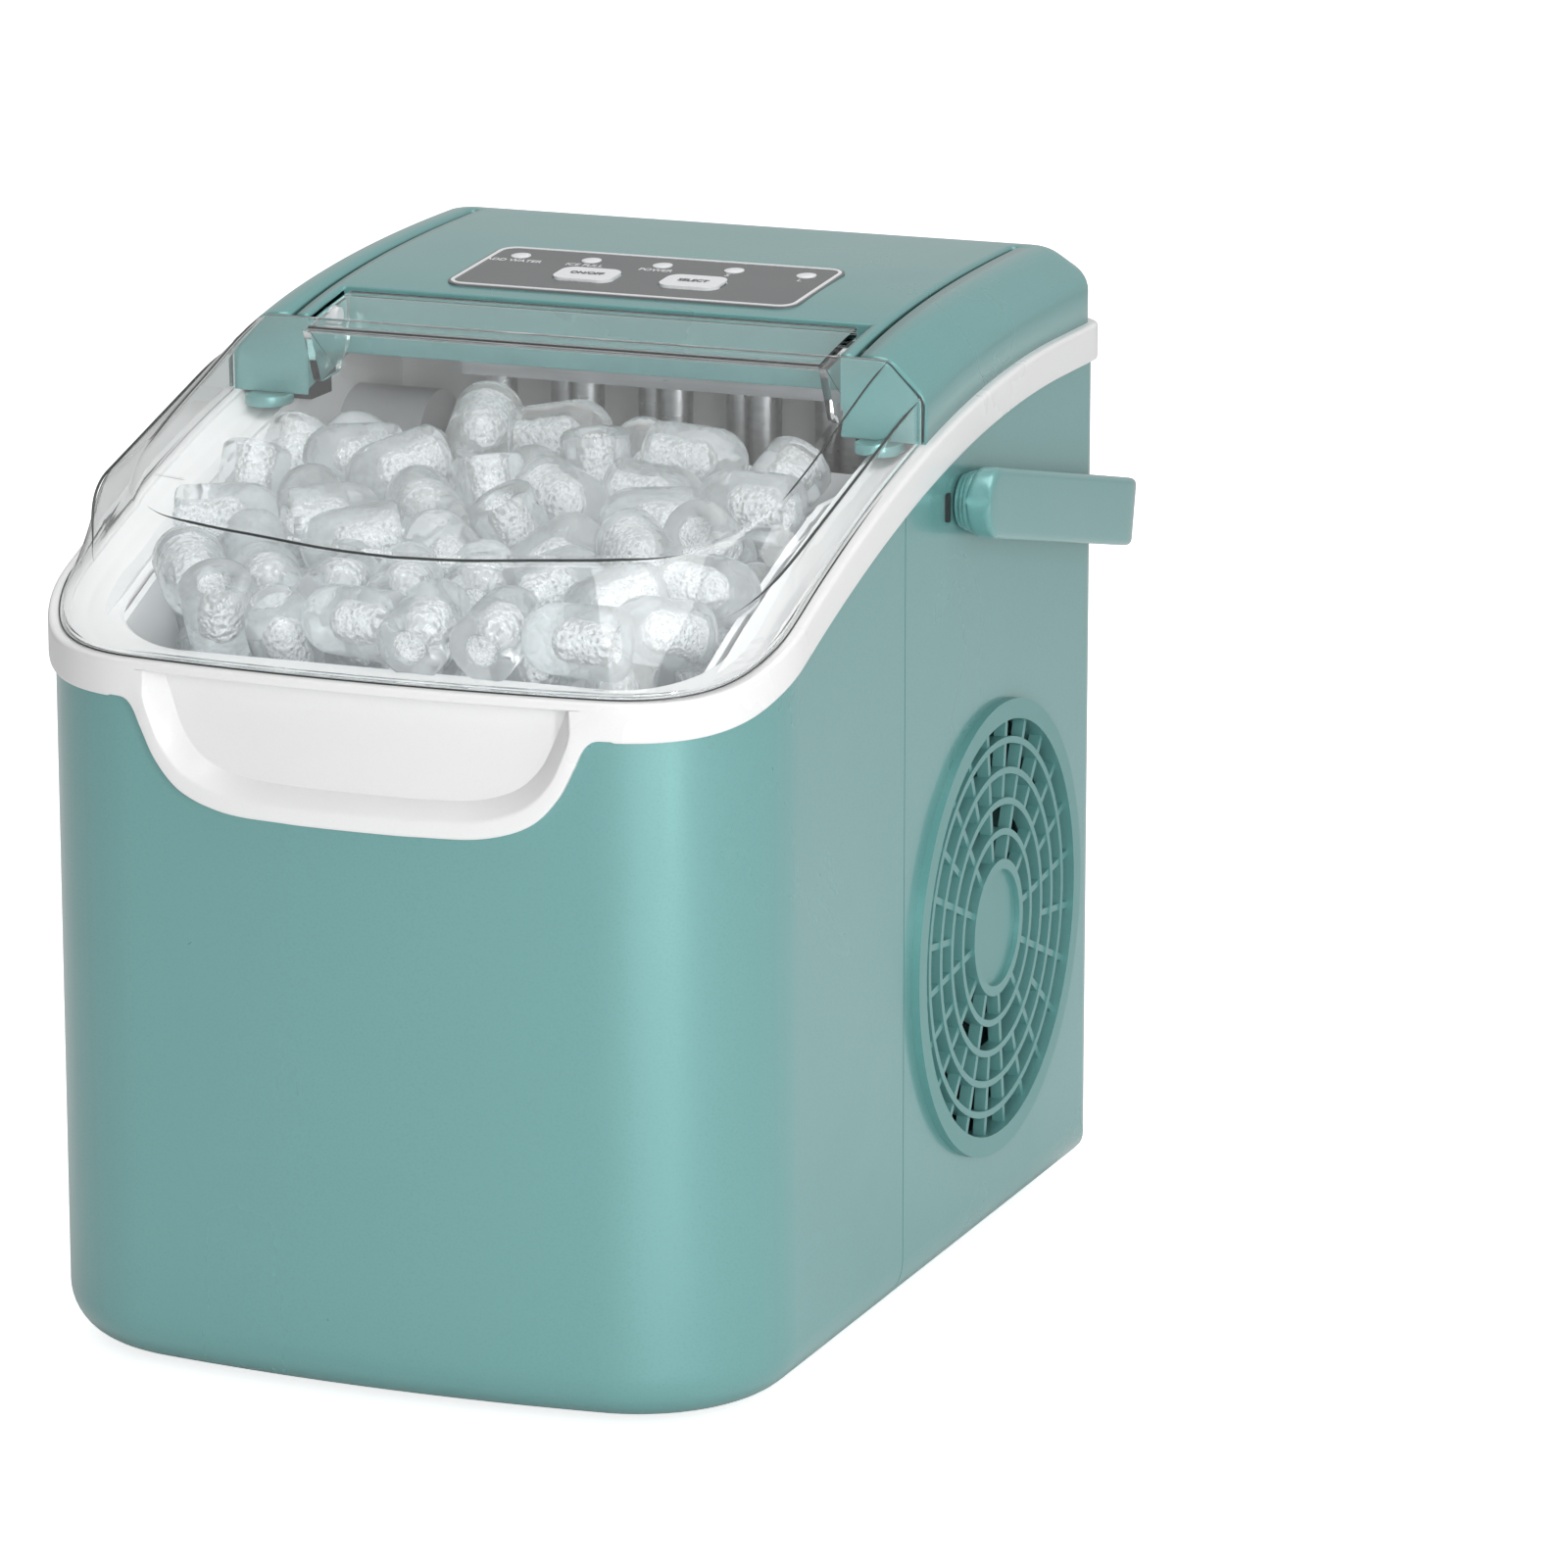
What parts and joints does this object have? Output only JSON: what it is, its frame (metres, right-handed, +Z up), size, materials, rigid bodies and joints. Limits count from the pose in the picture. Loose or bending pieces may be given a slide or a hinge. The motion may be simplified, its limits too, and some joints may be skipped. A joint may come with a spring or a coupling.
{
  "type": "ice maker",
  "caption": "Countertop ice maker: moulded body with a clear hinged lid over an ice basket, a sloping control panel, round side vents and a swinging carry handle.",
  "frame": {"origin": "centre of the footprint's bounding box, on the plane of the feet", "axes": "+Z up, front faces -Y, +X to the viewer's right when facing the front"},
  "size_m": [0.2474, 0.3168, 0.2906],
  "materials": {
    "teal_plastic": "satin gloss moulded, faint pearl",
    "white_plastic": "satin moulded",
    "clear_plastic": "clear polished",
    "panel_grey": "printed film with white edge",
    "lens": "frosted translucent",
    "rubber": "matt",
    "foam": "cellular",
    "board_green": "lacquered board",
    "black_plastic": "fine texture",
    "black_steel": "gloss enamel",
    "zinc_steel": "zinc plated",
    "steel": "polished",
    "copper": "bare copper",
    "aluminium": "bare fin stock",
    "brass": "bare with a blue coil",
    "natural_plastic": "uncoloured"
  },
  "bodies": {
    "casing": {"front_shell": "teal_plastic", "rear_housing": "teal_plastic", "base_pan": "zinc_steel", "rubber_feet": "rubber", "base_screws": "zinc_steel", "white_band": "white_plastic", "finger_pocket": "white_plastic", "bin_liner": "white_plastic", "bin_insulation": "foam", "top_cover": "teal_plastic", "cover_screws": "zinc_steel", "control_panel": "panel_grey", "indicator_lenses": "lens", "control_board": "board_green", "button_switches": "black_plastic", "lid_hinge_pins": "steel", "grille_right": "teal_plastic", "grille_left": "teal_plastic", "compressor": "black_steel", "compressor_grommets": "rubber", "compressor_bolts": "zinc_steel", "start_relay": "rubber", "condenser_fins": "aluminium", "condenser_coil": "copper", "fan_shroud": "black_plastic", "fan_motor": "zinc_steel", "filter_drier": "copper", "capillary_tube": "copper", "hot_gas_valve": "brass", "discharge_pipe": "copper", "liquid_pipe": "copper", "suction_pipe": "copper", "evaporator_plate": "steel", "freezing_fingers": "steel", "evaporator_tube": "copper", "tray_bush": "natural_plastic", "tray_motor": "black_plastic", "water_pump": "black_plastic", "pump_hose": "natural_plastic", "water_level_sensor": "black_plastic", "ice_full_sensors": "white_plastic", "drain_fitting": "natural_plastic", "drain_hose": "natural_plastic", "cord_gland": "rubber"},
    "lid": {"lid": "clear_plastic"},
    "handle": {"carry_handle": "teal_plastic", "handle_washers": "zinc_steel", "handle_screws": "zinc_steel"},
    "power_button": {"power_button": "white_plastic"},
    "select_button": {"select_button": "white_plastic"},
    "basket": {"ice_basket": "white_plastic"},
    "tray": {"water_tray": "white_plastic", "ice_shovel": "white_plastic"},
    "fan": {"fan_blades": "black_plastic"},
    "drain_plug": {"drain_plug": "rubber"}
  },
  "joints": [
    {"name": "lid_hinge", "type": "hinge", "parent": "casing", "child": "lid", "pos_m": [0, 0.00685, 0.2766], "axis": [-1, 0, 0], "range_deg": [0, 110]},
    {"name": "handle_swing", "type": "hinge", "parent": "casing", "child": "handle", "pos_m": [0, 0.02134, 0.2347], "axis": [1, 0, 0], "range_deg": [0, 96]},
    {"name": "power_button_press", "type": "slide", "parent": "casing", "child": "power_button", "axis": [0, 0.0843, -0.9964], "range_m": [0, 0.0008], "stiffness_N_per_m": 400, "springref_m": -0.002},
    {"name": "select_button_press", "type": "slide", "parent": "casing", "child": "select_button", "axis": [0, 0.0843, -0.9964], "range_m": [0, 0.0008], "stiffness_N_per_m": 400, "springref_m": -0.002},
    {"name": "basket_lift", "type": "slide", "parent": "casing", "child": "basket", "axis": [0, 0, 1], "range_m": [0, 0.01]},
    {"name": "tray_tilt", "type": "hinge", "parent": "casing", "child": "tray", "pos_m": [0, 0.04784, 0.233], "axis": [1, 0, 0], "range_deg": [0, 55]},
    {"name": "fan_spin", "type": "hinge", "parent": "casing", "child": "fan", "pos_m": [0, 0.07609, 0.088], "axis": [1, 0, 0], "continuous": true},
    {"name": "drain_plug_pull", "type": "slide", "parent": "casing", "child": "drain_plug", "axis": [-1, 0, 0], "range_m": [0, 0.014]}
  ]
}
